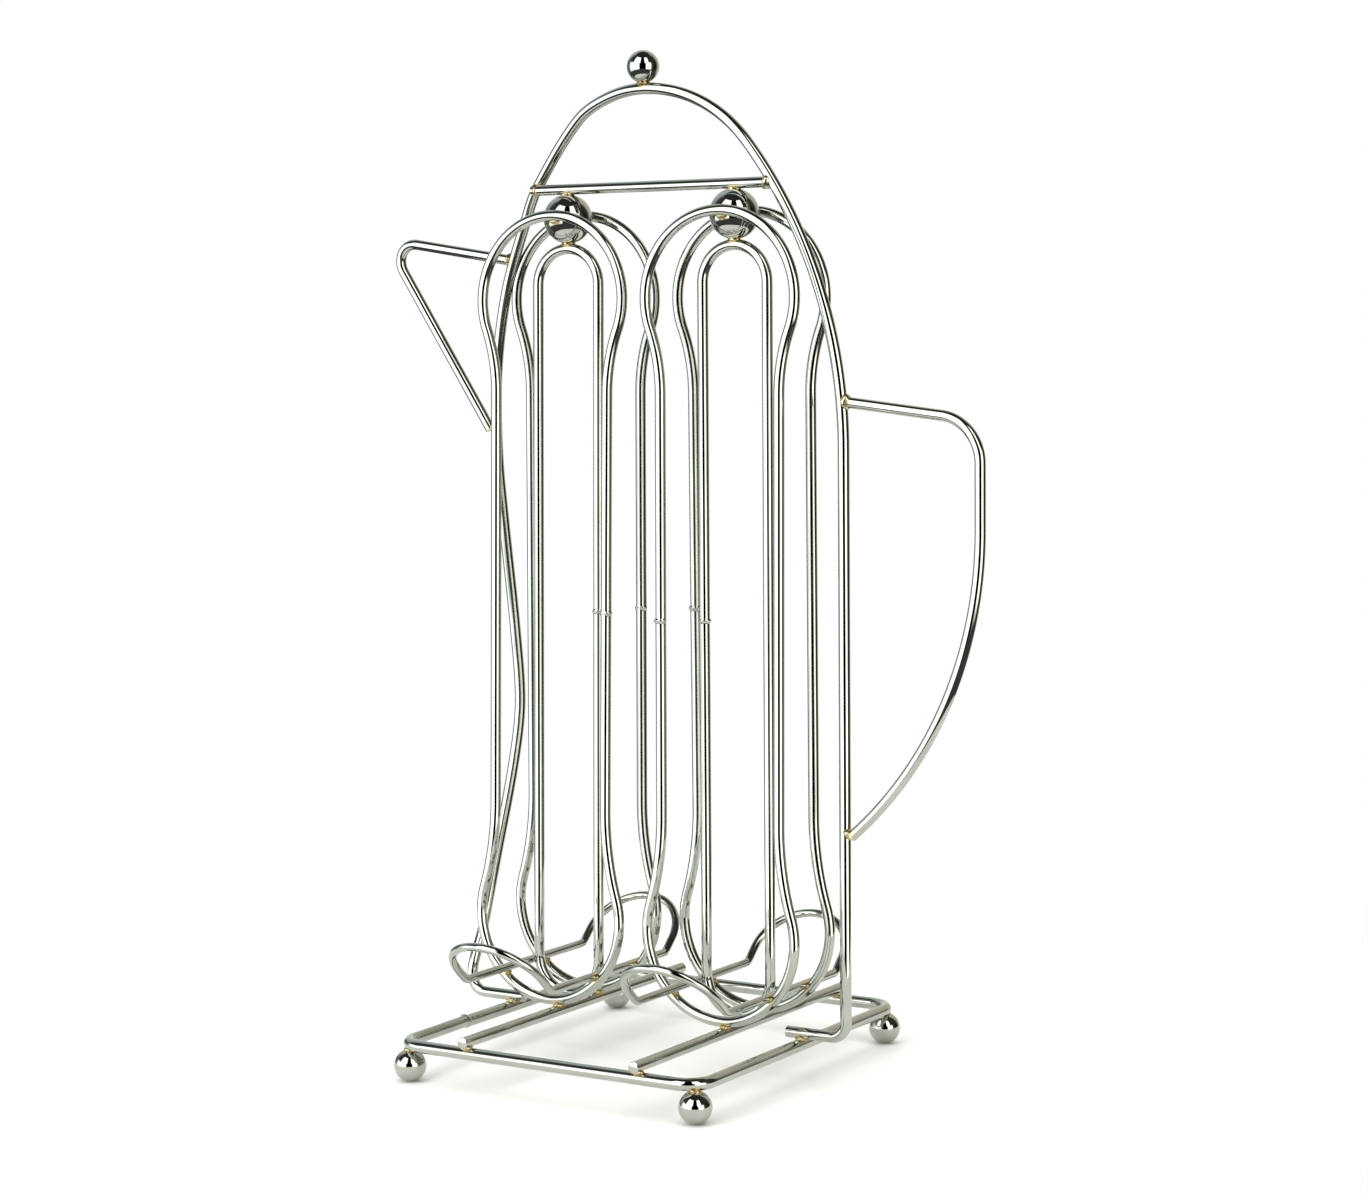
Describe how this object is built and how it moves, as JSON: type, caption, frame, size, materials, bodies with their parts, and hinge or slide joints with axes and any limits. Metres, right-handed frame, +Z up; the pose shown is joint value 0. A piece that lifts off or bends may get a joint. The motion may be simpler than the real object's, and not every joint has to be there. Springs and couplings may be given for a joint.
{
  "type": "capsule holder",
  "caption": "Chromed wire holder shaped like a coffee pot, with two columns of keyhole loops that store coffee capsules on edge.",
  "frame": {"origin": "on the table under the middle of the base ring", "axes": "+X towards the handle, +Y towards the back, +Z up"},
  "size_m": [0.1974, 0.1132, 0.2822],
  "materials": {
    "chrome_wire": "bright polished chrome plate on drawn steel wire",
    "chrome_ball": "bright polished chrome plate on solid steel balls"
  },
  "bodies": {
    "root": {"base_ring": "chrome_wire", "foot_ball_front_left": "chrome_ball", "foot_ball_front_right": "chrome_ball", "foot_ball_rear_left": "chrome_ball", "foot_ball_rear_right": "chrome_ball", "base_rod_left": "chrome_wire", "base_rod_right": "chrome_wire", "keyhole_loop_front_left": "chrome_wire", "keyhole_loop_rear_left": "chrome_wire", "keyhole_loop_front_right": "chrome_wire", "keyhole_loop_rear_right": "chrome_wire", "racetrack_left": "chrome_wire", "racetrack_right": "chrome_wire", "joining_ball_left": "chrome_ball", "joining_ball_right": "chrome_ball", "cradle_left": "chrome_wire", "cradle_right": "chrome_wire", "pot_outline": "chrome_wire", "crossbar": "chrome_wire", "finial_ball": "chrome_ball", "spout": "chrome_wire", "handle": "chrome_wire"}
  },
  "joints": []
}
